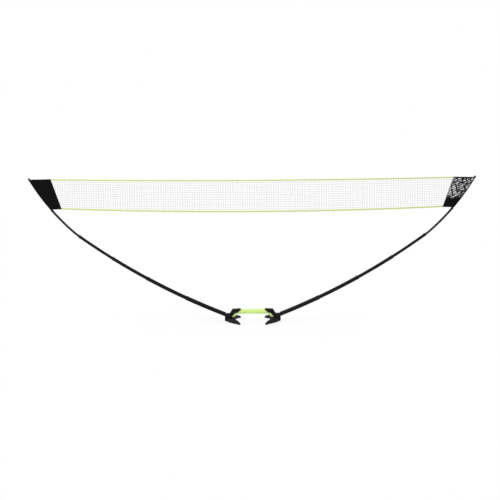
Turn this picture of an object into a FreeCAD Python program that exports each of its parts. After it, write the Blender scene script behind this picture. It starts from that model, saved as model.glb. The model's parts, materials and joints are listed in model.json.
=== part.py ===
"""Portable free-standing badminton net: a folding base, two telescopic masts and a net.

Sizes are in millimetres and angles in degrees.
The frame stands on the floor at the middle of the base.
X runs along the net, Y points away from the viewer and Z points up.
Every left piece is drawn first, and the right one is its mirror image in the plane X = 0.
"""
import FreeCAD, Part
import math
import os

Vector = FreeCAD.Vector

# Mast line: every tube lies on one shallow circle, so each slides exactly along the next
pivot_out = 262.0           # mast pivot from the middle of the base
pivot_height = 65.0         # mast pivot above the floor
mast_start_angle = 21.2     # slope of the mast at its pivot
mast_bend_radius = 7200.0   # radius of the line on which tubes 1 to 4 lie
mast_fold_angle = 60.0      # swing of a mast from open to put away

# Tubes, measured along the mast line from the pivot
tube_1_start = 52.0
tube_1_mouth = 500.0
tube_2_reach = 482.0        # part of tube 2 that shows, and so on
tube_3_reach = 437.0
tube_4_reach = 430.0
tube_overlap = 60.0         # hidden length of a tube inside the one below it
tube_wall = 1.5
tube_1_outer = 46.0
tube_2_outer = 41.0
tube_3_outer = 36.0
tube_4_outer = 31.0
rod_5_outer = 24.0
rod_6_outer = 17.0
rod_6_wall = 2.0

# Rods: straight out of tube 4, a short bend at its mouth, then a springy curve
rod_5_reach = 410.0
rod_5_overlap = 55.0
rod_lead = 10.0             # straight lead of rod 5 beyond the mouth of tube 4
rod_bend_angle = 5.6
rod_bend_length = 60.0
rod_curve_radius = 2400.0   # curve in which the net's pull bends both rods
rod_6_reach = 419.0
rod_6_overlap = 50.0

# Ferrules, bushes and caps
ferrule_wall = 1.6
ferrule_grip = 18.0         # length over the tube below the mouth
ferrule_lip = 6.0           # length beyond the mouth
ferrule_chamfer = 1.0       # round the outer end of the lip
bush_length = 12.0
bush_wall = 3.0
running_gap = 0.3           # between pieces that slide or turn on each other
seat_gap = 0.1              # between pieces that are fixed to each other
overrun = 1.0               # how far a cutting shape runs past what it cuts
same = 0.01                 # sizes or places nearer than this count as the same
cap_outer = 22.0
cap_length = 13.0
cap_grip = 8.0
cap_round = 4.8

# Knuckle at the foot of a mast
knuckle_eye_outer = 40.0
knuckle_width = 26.0
knuckle_neck_height = 24.0
knuckle_shoulder_gap = 1.5  # between the collar's hollow end and the hub's outer side
knuckle_spigot = 23.0
mast_pin_diameter = 12.0
mast_pin_head = 18.0
mast_pin_head_height = 3.0
mast_pin_sink = 1.0         # ends of the pin below the hub's sides
pin_gap = 0.05              # round a pin, in the piece that turns on it
slot_side_gap = 1.0         # beside the knuckle's neck at either end of its swing
slot_spare_angle = 2.0      # and beyond the neck's own spread at the hub's rim

# Carrying handle
handle_height = 111.0       # axis of its straight part
handle_outer = 52.0
handle_wall = 3.0
handle_corner_out = 178.0   # where the straight axis and the sloping axis would meet
handle_bend_angle = 45.0
handle_bend_radius = 50.0
handle_leg = 68.0           # sloping axis from that corner to the tube's end

# Hub
hub_half_width = 34.0
hub_edge_round = 6.0
hub_outer_side = 44.0       # outer side of the hub, beyond the mast pivot
hub_top_rise = 25.0         # top of the block above the mast pivot
hub_top_round = 24.0
hub_floor_gap = 6.0
hub_bottom_round = 16.0
hub_inner_edge = 187.0      # inner end of the jaw under the handle's bend
hub_jaw_drop = 19.0         # top of the jaw below the mast pivot
hub_jaw_round = 10.0
hub_rise_start = 9.0        # from the pivot inwards to where the top climbs to the horn
hub_rise_round = 9.0
horn_shoulder_out = 44.0    # shoulder of the horn, beyond the handle's corner
horn_shoulder_rise = 28.0   # and above the handle's axis
horn_shoulder_round = 18.0
horn_tip_out = 119.0
horn_tip_height = 143.5
horn_tip_round = 7.0
horn_throat_in = 11.0       # underside of the horn, inwards from the handle's corner
horn_throat_drop = 10.0     # and below the handle's axis
horn_throat_round = 10.0
horn_heel_out = 18.0        # where that underside turns down beside the handle
horn_heel_drop = 16.0
horn_heel_round = 14.0
notch_out = 61.0            # deepest corner of the gap that shows the handle's bend
notch_drop = 16.0           # and its depth below the mast pivot
notch_round = 3.0
screw_diameter = 4.0
screw_head = 8.4
screw_head_height = 2.6
screw_length = 52.0
screw_edge = 14.0           # low screws above the hub's underside
screw_from_pivot = 26.0
screw_from_jaw = 16.0
horn_screw_out = 40.0       # third screw, beyond the handle's corner
horn_screw_rise = 10.0

# Folding feet
foot_pin_out = 268.0
foot_pin_side = 50.0
foot_toe_out = 136.0
foot_toe_side = 232.0
foot_pin_diameter = 8.0
foot_pin_head = 13.0
foot_pin_head_height = 2.0
foot_pin_rise = 1.0         # lower end of a foot pin above the lug's underside
foot_boss_outer = 30.0
lug_bottom_height = 8.0     # underside of the lower lug
lug_bottom_thickness = 8.0
lug_top_bottom = 40.0
lug_top_thickness = 10.0
lug_root = 2.0              # how far a lug reaches past the rounding of the hub's side
foot_width = 28.0
foot_toe_width = 11.0
foot_height = 47.0
foot_root_gap = 2.0         # between the high part of a blade and its boss
foot_root_drop = 5.0        # back of the blade at its root, below its crown
foot_crown = 94.0           # crown of the back, from the pin
foot_back_from_toe = 63.0   # where the back turns down to the toe
foot_back_height = 39.0
foot_nose_from_toe = 22.5   # a point of the rounded slope to the toe
foot_nose_height = 26.5
foot_toe_height = 12.0
foot_toe_bulge = 1.0
foot_heel_length = 10.0     # slanting corner under the blade's root
foot_heel_rise = 6.0
foot_taper = 101.0          # from the pin to where the blade begins to narrow
foot_arm = 12.0             # overlap of the arm at the boss with the blade
pad_height = 3.0
pad_width = 9.0
pad_length = 30.0
pad_round = 4.0
pad_from_boss = 16.0
pad_from_toe = 5.0

# Net
net_top_sag = 20.0          # middle of the top edge below its ends
net_bottom_sag = 43.0
tape_height = 14.0
tape_thickness = 3.0
mesh_thickness = 1.6
mesh_twine = 2.4
mesh_columns = 60
mesh_rows = 5

# Sleeves
sleeve_thickness = 4.0
sleeve_wall = 1.2
sleeve_top_below_tip = 9.5
sleeve_bottom_above_ferrule = 10.0  # from the end of rod 5 to the pocket
sleeve_top_width = 223.3    # from rod 6 to the top end of the net
sleeve_top_rise = 4.0       # that end above the top of the pocket
sleeve_bottom_width = 107.0
sleeve_bottom_rise = 2.5
sleeve_net_gap = 0.4

# What follows from the driving sizes
tube_2_mouth = tube_1_mouth + tube_2_reach
tube_3_mouth = tube_2_mouth + tube_3_reach
tube_4_mouth = tube_3_mouth + tube_4_reach
pivot = Vector(-pivot_out, 0, pivot_height)
y_axis = Vector(0, 1, 0)
z_axis = Vector(0, 0, 1)
foot_boss_bottom = lug_bottom_height + lug_bottom_thickness + running_gap
foot_boss_top = lug_top_bottom - running_gap
foot_run = foot_pin_out - foot_toe_out
foot_spread = foot_toe_side - foot_pin_side
foot_reach = math.hypot(foot_run, foot_spread)
foot_open_angle = math.degrees(math.atan2(foot_spread, foot_run))


class Bend:
    """A stretch of the mast's axis: an arc in the plane Y = 0 that climbs outwards to the left."""

    def __init__(self, start, angle, radius):
        self.start = start
        self.angle = math.radians(angle)
        self.radius = radius
        towards_centre = Vector(math.sin(self.angle), 0, math.cos(self.angle))
        self.centre = start + towards_centre * radius

    def angle_at(self, length):
        return self.angle + length / self.radius

    def point(self, length):
        a = self.angle_at(length)
        return self.centre - Vector(math.sin(a), 0, math.cos(a)) * self.radius

    def tangent(self, length):
        a = self.angle_at(length)
        return Vector(-math.cos(a), 0, math.sin(a))

    def bar(self, outer, begin, end):
        """A round bar of the outer diameter along the arc."""
        rim = Part.Circle(self.point(begin), self.tangent(begin), outer / 2)
        disc = Part.Face(Part.Wire([rim.toShape()]))
        turn = math.degrees((end - begin) / self.radius)
        return disc.revolve(self.centre, y_axis, turn)

    def ring(self, outer, inner, begin, end):
        """A round tube along the arc."""
        return self.bar(outer, begin, end).cut(self.bar(inner, begin - overrun, end + overrun))


mast_line = Bend(pivot, mast_start_angle, mast_bend_radius)
rod_bend = Bend(
    mast_line.point(tube_4_mouth + rod_lead),
    math.degrees(mast_line.angle_at(tube_4_mouth + rod_lead)),
    rod_bend_length / math.radians(rod_bend_angle),
)
rod_curve = Bend(
    rod_bend.point(rod_bend_length),
    math.degrees(rod_bend.angle_at(rod_bend_length)),
    rod_curve_radius,
)
rod_5_end = rod_5_reach - rod_lead - rod_bend_length
rod_6_end = rod_5_end + rod_6_reach

# The sleeves hang on rod 6, and the net between the sleeves
sleeve_begin = rod_5_end + sleeve_bottom_above_ferrule
sleeve_end = rod_6_end - sleeve_top_below_tip
pocket_bottom = rod_curve.point(sleeve_begin)
pocket_top = rod_curve.point(sleeve_end)
net_top_half = -pocket_top.x - sleeve_top_width
net_bottom_half = -pocket_bottom.x - sleeve_bottom_width
net_top_height = pocket_top.z + sleeve_top_rise - net_top_sag
net_bottom_height = pocket_bottom.z + sleeve_bottom_rise - net_bottom_sag
mesh_top = net_top_height - tape_height
mesh_bottom = net_bottom_height + tape_height


def mirrored(shape):
    return shape.mirror(Vector(0, 0, 0), Vector(1, 0, 0))


def flat_point(x, z):
    return Vector(x, 0, z)


def rounded_outline(corners):
    """A closed wire through (x, z, round) corners, each rounded by its own radius."""
    count = len(corners)
    starts, ends, middles = [], [], []
    for i, (x, z, radius) in enumerate(corners):
        here = flat_point(x, z)
        before = flat_point(*corners[i - 1][:2]) - here
        after = flat_point(*corners[(i + 1) % count][:2]) - here
        before.normalize()
        after.normalize()
        half = before.getAngle(after) / 2
        reach = radius / math.tan(half)
        inward = before + after
        inward.normalize()
        centre = here + inward * (radius / math.sin(half))
        starts.append(here + before * reach)
        ends.append(here + after * reach)
        middles.append(centre - inward * radius)
    edges = []
    for i in range(count):
        edges.append(Part.Arc(starts[i], middles[i], ends[i]).toShape())
        following = starts[(i + 1) % count]
        if (following - ends[i]).Length > same:
            edges.append(Part.LineSegment(ends[i], following).toShape())
    return Part.Wire(edges)


def slab(wire, low_y, high_y):
    """A plate cut to a wire that lies in the plane Y = 0."""
    face = Part.Face(wire)
    face.translate(Vector(0, low_y, 0))
    return face.extrude(Vector(0, high_y - low_y, 0))


def polygon(points):
    return Part.makePolygon(points + [points[0]])


# Handle and hubs


def handle_axis(leg_left, leg_right):
    """The handle's axis, with each sloping leg of its own length."""
    slope = math.radians(handle_bend_angle)
    reach = handle_bend_radius * math.tan(slope / 2)
    edges = []
    sides = []
    for side, leg in ((-1, leg_left), (1, leg_right)):
        corner = flat_point(side * handle_corner_out, handle_height)
        outwards = Vector(side * math.cos(slope), 0, -math.sin(slope))
        level = corner - Vector(side * reach, 0, 0)
        low = corner + outwards * reach
        centre = level - Vector(0, 0, handle_bend_radius)
        up = Vector(side * math.sin(slope / 2), 0, math.cos(slope / 2))
        sides.append((corner + outwards * leg, low, centre + up * handle_bend_radius, level))
    end, low, middle, level = sides[0]
    edges.append(Part.LineSegment(end, low).toShape())
    edges.append(Part.Arc(low, middle, level).toShape())
    end_2, low_2, middle_2, level_2 = sides[1]
    edges.append(Part.LineSegment(level, level_2).toShape())
    edges.append(Part.Arc(level_2, middle_2, low_2).toShape())
    edges.append(Part.LineSegment(low_2, end_2).toShape())
    return Part.Wire(edges), end, low - end


def handle_bar(diameter, leg):
    axis, end, direction = handle_axis(leg, leg)
    rim = Part.Wire([Part.Circle(end, direction, diameter / 2).toShape()])
    return axis.makePipeShell([rim], True, False)


def carry_handle():
    tube = handle_bar(handle_outer, handle_leg)
    return tube.cut(handle_bar(handle_outer - 2 * handle_wall, handle_leg + overrun))


def hub_outline():
    """The hub seen from the front: a block round the mast pivot, and a horn over the handle."""
    outer = -(pivot_out + hub_outer_side)
    top = pivot_height + hub_top_rise
    shoulder = handle_height + horn_shoulder_rise
    corner = -handle_corner_out
    return rounded_outline([
        (outer, hub_floor_gap, hub_bottom_round),
        (outer, top, hub_top_round),
        (-pivot_out + hub_rise_start, top, hub_rise_round),
        (corner - horn_shoulder_out, shoulder, horn_shoulder_round),
        (-horn_tip_out, horn_tip_height, horn_tip_round),
        (corner + horn_throat_in, handle_height - horn_throat_drop, horn_throat_round),
        (corner - horn_heel_out, handle_height - horn_heel_drop, horn_heel_round),
        (corner - notch_out, pivot_height - notch_drop, notch_round),
        (-hub_inner_edge, pivot_height - hub_jaw_drop, hub_jaw_round),
        (-hub_inner_edge, hub_floor_gap, hub_jaw_round),
    ])


def rim_edges(shape, level):
    """Edges of the flat side of a slab that lies at Y = level."""
    flat = [e for e in shape.Edges if abs(e.BoundBox.YMin - level) < same]
    return [e for e in flat if abs(e.BoundBox.YMax - level) < same]


def sideways(slope):
    """The direction square to a mast of that slope, on its upper side."""
    a = math.radians(slope)
    return Vector(math.sin(a), 0, math.cos(a))


def knuckle_slot():
    """Room for the knuckle's eye, and for its neck from the open to the folded mast."""
    half = knuckle_width / 2 + running_gap
    eye_radius = knuckle_eye_outer / 2 + 2 * running_gap
    eye = Part.makeCylinder(eye_radius, 2 * half, pivot - y_axis * half, y_axis)
    neck_half = knuckle_neck_height / 2
    spread = math.degrees(math.asin(neck_half / hub_outer_side)) + slot_spare_angle
    open_side = sideways(mast_start_angle)
    folded_side = sideways(mast_start_angle + mast_fold_angle)
    low = mast_start_angle - spread
    high = mast_start_angle + mast_fold_angle + spread
    fan = [pivot - open_side * (neck_half + slot_side_gap)]
    for angle in (low, (low + high) / 2, high):
        a = math.radians(angle)
        fan.append(pivot + Vector(-math.cos(a), 0, math.sin(a)) * 2 * hub_outer_side)
    fan.append(pivot + folded_side * (neck_half + slot_side_gap))
    return eye.fuse(slab(polygon(fan), -half, half))


def screw_places():
    """Hub screws in X and Z: low outside, low inside, and in the horn's shoulder."""
    low = hub_floor_gap + screw_edge
    return [
        (-pivot_out - screw_from_pivot, low),
        (-hub_inner_edge - screw_from_jaw, low),
        (-handle_corner_out - horn_screw_out, handle_height + horn_screw_rise),
    ]


def hub_screws():
    """Pan-head screws that enter from the back of the hub."""
    screws = []
    for x, z in screw_places():
        top = Vector(x, hub_half_width - seat_gap, z)
        head_low = top - y_axis * screw_head_height
        head = Part.makeCylinder(screw_head / 2, screw_head_height, head_low, y_axis)
        length = screw_length - screw_head_height
        shank = Part.makeCylinder(screw_diameter / 2, length, head_low - y_axis * length, y_axis)
        screw = head.fuse(shank).removeSplitter()
        screws += [screw, mirrored(screw)]
    return Part.makeCompound(screws)


def screw_holes():
    cuts = []
    gap = seat_gap
    for x, z in screw_places():
        seat = hub_half_width - seat_gap - screw_head_height
        low = Vector(x, hub_half_width - screw_length - gap, z)
        cuts.append(Part.makeCylinder(screw_diameter / 2 + gap, screw_length, low, y_axis))
        mouth = Vector(x, seat, z)
        cuts.append(Part.makeCylinder(screw_head / 2 + gap, hub_half_width, mouth, y_axis))
    return cuts


def mast_pin():
    """A pin with a low head at each end, sunk into the hub's sides."""
    half = hub_half_width - mast_pin_sink
    body = Part.makeCylinder(mast_pin_diameter / 2, 2 * half, pivot - y_axis * half, y_axis)
    for side in (-1, 1):
        base = pivot + y_axis * (side * half)
        inward = y_axis * -side
        head = Part.makeCylinder(mast_pin_head / 2, mast_pin_head_height, base, inward)
        body = body.fuse(head)
    return body.removeSplitter()


def mast_pin_hole():
    hole_radius = mast_pin_diameter / 2 + seat_gap
    reach = hub_half_width + overrun
    hole = Part.makeCylinder(hole_radius, 2 * reach, pivot - y_axis * reach, y_axis)
    for side in (-1, 1):
        floor = hub_half_width - mast_pin_sink - mast_pin_head_height
        base = pivot + y_axis * (side * floor)
        sink = Part.makeCylinder(mast_pin_head / 2 + seat_gap, hub_half_width, base, y_axis * side)
        hole = hole.fuse(sink)
    return hole


def lug(side, low, height):
    """A flat ear on the hub's side that holds one end of a foot pin."""
    radius = foot_boss_outer / 2
    centre = Vector(-foot_pin_out, side * foot_pin_side, low)
    nose = Part.makeCylinder(radius, height, centre, z_axis)
    depth = foot_pin_side - hub_half_width + hub_edge_round + lug_root
    inner = side * (foot_pin_side - depth)
    corner = Vector(-foot_pin_out - radius, min(inner, side * foot_pin_side), low)
    web = Part.makeBox(2 * radius, depth, height, corner)
    return nose.fuse(web)


def hub_solid():
    body = slab(hub_outline(), -hub_half_width, hub_half_width)
    rims = rim_edges(body, -hub_half_width) + rim_edges(body, hub_half_width)
    body = body.makeFillet(hub_edge_round, rims)
    for side in (-1, 1):
        body = body.fuse(lug(side, lug_bottom_height, lug_bottom_thickness))
        body = body.fuse(lug(side, lug_top_bottom, lug_top_thickness))
    body = body.cut(handle_bar(handle_outer + 2 * seat_gap, handle_leg + seat_gap))
    body = body.cut(knuckle_slot())
    body = body.cut(mast_pin_hole())
    for hole in screw_holes():
        body = body.cut(hole)
    for side in (-1, 1):
        body = body.cut(foot_pin_hole(side))
    return body.removeSplitter()


def hub_shells():
    """The hub parted along the plane Y = 0 into a front and a rear shell."""
    whole = hub_solid()
    box = whole.BoundBox
    corner = Vector(box.XMin, box.YMin, box.ZMin) - Vector(overrun, overrun, overrun)
    length = box.XLength + 2 * overrun
    height = box.ZLength + 2 * overrun
    front_half = Part.makeBox(length, -corner.y, height, corner)
    front = whole.common(front_half)
    rear = whole.cut(front_half)
    return front, rear


# Feet


def foot_pin_hole(side):
    low = Vector(-foot_pin_out, side * foot_pin_side, 0)
    radius = foot_pin_diameter / 2 + seat_gap
    top = lug_top_bottom + lug_top_thickness
    hole = Part.makeCylinder(radius, top + overrun, low, z_axis)
    sink_low = low + z_axis * (top - foot_pin_head_height)
    sink_depth = foot_pin_head_height + overrun
    sink = Part.makeCylinder(foot_pin_head / 2 + seat_gap, sink_depth, sink_low, z_axis)
    return hole.fuse(sink)


def foot_pins():
    """A headed vertical pin for each of the four feet."""
    pins = []
    for side in (-1, 1):
        low = Vector(-foot_pin_out, side * foot_pin_side, lug_bottom_height + foot_pin_rise)
        top = lug_top_bottom + lug_top_thickness
        shank = Part.makeCylinder(foot_pin_diameter / 2, top - low.z, low, z_axis)
        head_low = Vector(low.x, low.y, top - foot_pin_head_height)
        head = Part.makeCylinder(foot_pin_head / 2, foot_pin_head_height, head_low, z_axis)
        pin = shank.fuse(head).removeSplitter()
        pins += [pin, mirrored(pin)]
    return Part.makeCompound(pins)


def placed_foot(shape, side):
    """Turn a foot drawn along +X from its pin into its open place at the left hub."""
    shape.rotate(Vector(0, 0, 0), z_axis, side * foot_open_angle)
    shape.translate(Vector(-foot_pin_out, side * foot_pin_side, 0))
    return shape


def foot_blade(side):
    """A leaf-shaped blade with a boss for its pin, drawn along +X and then turned."""
    root = foot_boss_outer / 2 + foot_root_gap
    low = pad_height
    toe = foot_reach
    root_top = flat_point(root, foot_height - foot_root_drop)
    crown = flat_point(foot_crown, foot_height)
    back = flat_point(toe - foot_back_from_toe, foot_back_height)
    nose = flat_point(toe - foot_nose_from_toe, foot_nose_height)
    toe_top = flat_point(toe - foot_toe_bulge, foot_toe_height)
    toe_middle = flat_point(toe, (foot_toe_height + low) / 2)
    toe_low = flat_point(toe - 2 * foot_toe_bulge, low)
    heel = flat_point(root + foot_heel_length, low)
    root_low = flat_point(root, low + foot_heel_rise)
    profile = Part.Wire([
        Part.LineSegment(root_low, root_top).toShape(),
        Part.Arc(root_top, crown, back).toShape(),
        Part.Arc(back, nose, toe_top).toShape(),
        Part.Arc(toe_top, toe_middle, toe_low).toShape(),
        Part.LineSegment(toe_low, heel).toShape(),
        Part.LineSegment(heel, root_low).toShape(),
    ])
    half = foot_width / 2
    toe_half = foot_toe_width / 2
    blade = slab(profile, -half, half)
    plan = polygon([
        Vector(0, -half, 0),
        Vector(foot_taper, -half, 0),
        Vector(toe + overrun, -toe_half, 0),
        Vector(toe + overrun, toe_half, 0),
        Vector(foot_taper, half, 0),
        Vector(0, half, 0),
    ])
    blade = blade.common(Part.Face(plan).extrude(z_axis * (foot_height + overrun)))
    arm_height = foot_boss_top - foot_boss_bottom
    boss = Part.makeCylinder(foot_boss_outer / 2, arm_height, z_axis * foot_boss_bottom, z_axis)
    arm_corner = Vector(0, -half, foot_boss_bottom)
    arm = Part.makeBox(root + foot_arm, foot_width, arm_height, arm_corner)
    blade = blade.fuse(boss).fuse(arm)
    bore_radius = foot_pin_diameter / 2 + pin_gap
    bore = Part.makeCylinder(bore_radius, foot_height + overrun, Vector(0, 0, 0), z_axis)
    blade = blade.cut(bore)
    return placed_foot(blade.removeSplitter(), side)


def foot_pads(side):
    """Two rubber pads under the blade, near its root and under its toe."""
    pads = []
    for start in (foot_boss_outer / 2 + pad_from_boss, foot_reach - pad_length - pad_from_toe):
        corner = Vector(start, -pad_width / 2, 0)
        pad = Part.makeBox(pad_length, pad_width, pad_height, corner)
        upright = [e for e in pad.Edges if abs(e.BoundBox.ZLength - pad_height) < same]
        pads.append(pad.makeFillet(pad_round, upright))
    return placed_foot(Part.makeCompound(pads), side)


# Masts


def knuckle():
    """The casting at the foot of a mast: eye, neck, collar and a spigot inside tube 1."""
    half = knuckle_width / 2
    eye = Part.makeCylinder(knuckle_eye_outer / 2, knuckle_width, pivot - y_axis * half, y_axis)
    along = mast_line.tangent(0)
    across = Vector(along.z, 0, -along.x)
    neck_end = tube_1_start - overrun
    up = across * (knuckle_neck_height / 2)
    far = pivot + along * neck_end
    neck = slab(polygon([pivot + up, far + up, far - up, pivot - up]), -half, half)
    collar = mast_line.bar(tube_1_outer, knuckle_eye_outer / 2, tube_1_start)
    reach = hub_outer_side + knuckle_shoulder_gap
    collar = collar.cut(Part.makeCylinder(reach, 2 * reach, pivot - y_axis * reach, y_axis))
    bore = tube_1_outer - 2 * tube_wall
    spigot_end = tube_1_start + knuckle_spigot
    spigot = mast_line.bar(bore - 2 * seat_gap, tube_1_start - overrun, spigot_end)
    casting = eye.fuse(neck).fuse(collar).fuse(spigot)
    hole_radius = mast_pin_diameter / 2 + pin_gap
    hole_start = pivot - y_axis * (half + overrun)
    hole = Part.makeCylinder(hole_radius, knuckle_width + 2 * overrun, hole_start, y_axis)
    return casting.cut(hole).removeSplitter()


def tube(outer, begin, end):
    return mast_line.ring(outer, outer - 2 * tube_wall, begin, end)


def ferrule(line, outer, next_outer, mouth, grip):
    """A collar over a tube's mouth, whose lip guides the next tube."""
    wide = outer + 2 * ferrule_wall
    sleeve = line.ring(wide, outer, mouth - grip, mouth)
    lip = line.ring(wide, next_outer + 2 * running_gap, mouth, mouth + ferrule_lip)
    collar = sleeve.fuse(lip).removeSplitter()
    end = line.point(mouth + ferrule_lip)
    rim = [e for e in collar.Edges if is_rim(e, end, wide)]
    return collar.makeChamfer(ferrule_chamfer, rim)


def is_rim(edge, centre, diameter):
    """True for the circular edge of the diameter about the centre."""
    curve = edge.Curve
    if not hasattr(curve, "Radius") or not hasattr(curve, "Center"):
        return False
    if abs(curve.Radius - diameter / 2) > same:
        return False
    return (curve.Center - centre).Length < same


def bush(outer, bore, begin):
    """A guide ring on the hidden end of a tube, running in the bore of the one below."""
    wide = bore - 2 * running_gap
    return mast_line.ring(wide, outer - 2 * tube_wall - 2 * bush_wall, begin - bush_length, begin)


def rod_5():
    inner = rod_5_outer - 2 * tube_wall
    parts = [
        mast_line.ring(rod_5_outer, inner, tube_4_mouth - rod_5_overlap, tube_4_mouth + rod_lead),
        rod_bend.ring(rod_5_outer, inner, 0, rod_bend_length),
        rod_curve.ring(rod_5_outer, inner, 0, rod_5_end),
    ]
    return parts[0].fuse(parts[1:]).removeSplitter()


def rod_6():
    inner = rod_6_outer - 2 * rod_6_wall
    return rod_curve.ring(rod_6_outer, inner, rod_5_end - rod_6_overlap, rod_6_end)


def tip_cap():
    """A rounded cap over the end of rod 6."""
    shell = rod_curve.bar(cap_outer, rod_6_end - cap_grip, rod_6_end - cap_grip + cap_length)
    end = rod_curve.point(rod_6_end - cap_grip + cap_length)
    rim = [e for e in shell.Edges if is_rim(e, end, cap_outer)]
    shell = shell.makeFillet(cap_round, rim)
    return shell.cut(rod_curve.bar(rod_6_outer, rod_6_end - cap_grip - overrun, rod_6_end))


# Net


def sag_arc(half, middle_height, sag):
    """The low arc of a net edge between its two ends."""
    left = flat_point(-half, middle_height + sag)
    right = flat_point(half, middle_height + sag)
    return Part.Arc(left, flat_point(0, middle_height), right).toShape()


def side_half(height):
    """Half length of the net at a height, on the slanting line of its ends."""
    top = net_top_height + net_top_sag
    bottom = net_bottom_height + net_bottom_sag
    share = (height - bottom) / (top - bottom)
    return net_bottom_half + (net_top_half - net_bottom_half) * share


def edge_band(low_height, low_sag, high_height, high_sag):
    """The outline between two sagging edges and the slanting ends of the net."""
    low_half = side_half(low_height + low_sag)
    high_half = side_half(high_height + high_sag)
    low = sag_arc(low_half, low_height, low_sag)
    high = sag_arc(high_half, high_height, high_sag)
    left = Part.LineSegment(
        flat_point(-low_half, low_height + low_sag), flat_point(-high_half, high_height + high_sag)
    ).toShape()
    right = Part.LineSegment(
        flat_point(low_half, low_height + low_sag), flat_point(high_half, high_height + high_sag)
    ).toShape()
    return Part.Wire(Part.__sortEdges__([low, left, high, right]))


def top_tape():
    wire = edge_band(mesh_top, net_top_sag, net_top_height, net_top_sag)
    return slab(wire, -tape_thickness / 2, tape_thickness / 2)


def bottom_tape():
    wire = edge_band(net_bottom_height, net_bottom_sag, mesh_bottom, net_bottom_sag)
    return slab(wire, -tape_thickness / 2, tape_thickness / 2)


def sagged(half, middle_height, sag, x):
    """Height of a sagging edge at X, on the arc through its ends and middle."""
    radius = (half * half + sag * sag) / (2 * sag)
    return middle_height + radius - math.sqrt(radius * radius - x * x)


def mesh_point(across, up):
    """A point of the mesh, from 0 to 1 across and up."""
    low_half = side_half(mesh_bottom + net_bottom_sag)
    high_half = side_half(mesh_top + net_top_sag)
    x_low = low_half * (2 * across - 1)
    x_high = high_half * (2 * across - 1)
    z_low = sagged(low_half, mesh_bottom, net_bottom_sag, x_low)
    z_high = sagged(high_half, mesh_top, net_top_sag, x_high)
    return flat_point(x_low + (x_high - x_low) * up, z_low + (z_high - z_low) * up)


def net_mesh():
    """One flat face with a pattern of gaps, given the twine's thickness."""
    outline = edge_band(mesh_bottom, net_bottom_sag, mesh_top, net_top_sag)
    half_across = mesh_twine / 2 / (2 * net_bottom_half)
    half_up = mesh_twine / 2 / (mesh_top - mesh_bottom)
    gaps = []
    for column in range(mesh_columns):
        left = column / mesh_columns + half_across
        right = (column + 1) / mesh_columns - half_across
        for row in range(mesh_rows):
            low = row / mesh_rows + half_up
            high = (row + 1) / mesh_rows - half_up
            corners = ((left, low), (right, low), (right, high), (left, high))
            gaps.append(polygon([mesh_point(*c) for c in corners]))
    face = Part.Face([outline] + gaps, "Part::FaceMakerCheese")
    face.translate(Vector(0, -mesh_thickness / 2, 0))
    return face.extrude(Vector(0, mesh_thickness, 0))


def end_sleeve():
    """A fabric sleeve: a pocket round rod 6 and a panel that reaches to the net's end."""
    bore = rod_6_outer + 2 * running_gap
    pocket = rod_curve.bar(bore + 2 * sleeve_wall, sleeve_begin, sleeve_end)
    middle = rod_curve.point((sleeve_begin + sleeve_end) / 2)
    top = flat_point(-net_top_half - sleeve_net_gap, net_top_height + net_top_sag)
    bottom = flat_point(-net_bottom_half - sleeve_net_gap, net_bottom_height + net_bottom_sag)
    outline = Part.Wire([
        Part.Arc(pocket_bottom, middle, pocket_top).toShape(),
        Part.LineSegment(pocket_top, top).toShape(),
        Part.LineSegment(top, bottom).toShape(),
        Part.LineSegment(bottom, pocket_bottom).toShape(),
    ])
    panel = slab(outline, -sleeve_thickness / 2, sleeve_thickness / 2)
    collar = rod_5_outer + 2 * ferrule_wall + 2 * running_gap
    below = rod_5_end - ferrule_grip - running_gap
    above = rod_5_end + ferrule_lip + running_gap
    rod_room = rod_curve.bar(bore, below, rod_6_end)
    cap_room = rod_curve.bar(cap_outer + 2 * running_gap, rod_6_end - cap_grip, rod_6_end + cap_length)
    fabric = panel.fuse(pocket).cut(rod_room).cut(cap_room)
    return fabric.cut(rod_curve.bar(collar, below, above)).removeSplitter()


def left_mast_pieces():
    """Every piece of the left mast, by name."""
    bores = {2: tube_1_outer - 2 * tube_wall, 3: tube_2_outer - 2 * tube_wall,
             4: tube_3_outer - 2 * tube_wall}
    return {
        "mast_knuckle": knuckle(),
        "mast_tube_1": tube(tube_1_outer, tube_1_start, tube_1_mouth),
        "mast_tube_2": tube(tube_2_outer, tube_1_mouth - tube_overlap, tube_2_mouth),
        "mast_tube_3": tube(tube_3_outer, tube_2_mouth - tube_overlap, tube_3_mouth),
        "mast_tube_4": tube(tube_4_outer, tube_3_mouth - tube_overlap, tube_4_mouth),
        "ferrule_1": ferrule(mast_line, tube_1_outer, tube_2_outer, tube_1_mouth, ferrule_grip),
        "ferrule_2": ferrule(mast_line, tube_2_outer, tube_3_outer, tube_2_mouth, ferrule_grip),
        "ferrule_3": ferrule(mast_line, tube_3_outer, tube_4_outer, tube_3_mouth, ferrule_grip),
        "ferrule_4": ferrule(mast_line, tube_4_outer, rod_5_outer, tube_4_mouth, ferrule_grip),
        "ferrule_5": ferrule(rod_curve, rod_5_outer, rod_6_outer, rod_5_end, ferrule_grip),
        "bush_2": bush(tube_2_outer, bores[2], tube_1_mouth - tube_overlap),
        "bush_3": bush(tube_3_outer, bores[3], tube_2_mouth - tube_overlap),
        "bush_4": bush(tube_4_outer, bores[4], tube_3_mouth - tube_overlap),
        "mast_rod_5": rod_5(),
        "mast_rod_6": rod_6(),
        "tip_cap": tip_cap(),
        "end_sleeve": end_sleeve(),
    }


def save(shape, name):
    solids = shape.Solids
    kept = solids[0] if len(solids) == 1 else Part.makeCompound(solids)
    print(name, len(solids), round(kept.Volume / 1000, 2), "cm3", "" if kept.isValid() else "INVALID")
    kept.exportStep("parts/" + name + ".step")


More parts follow.
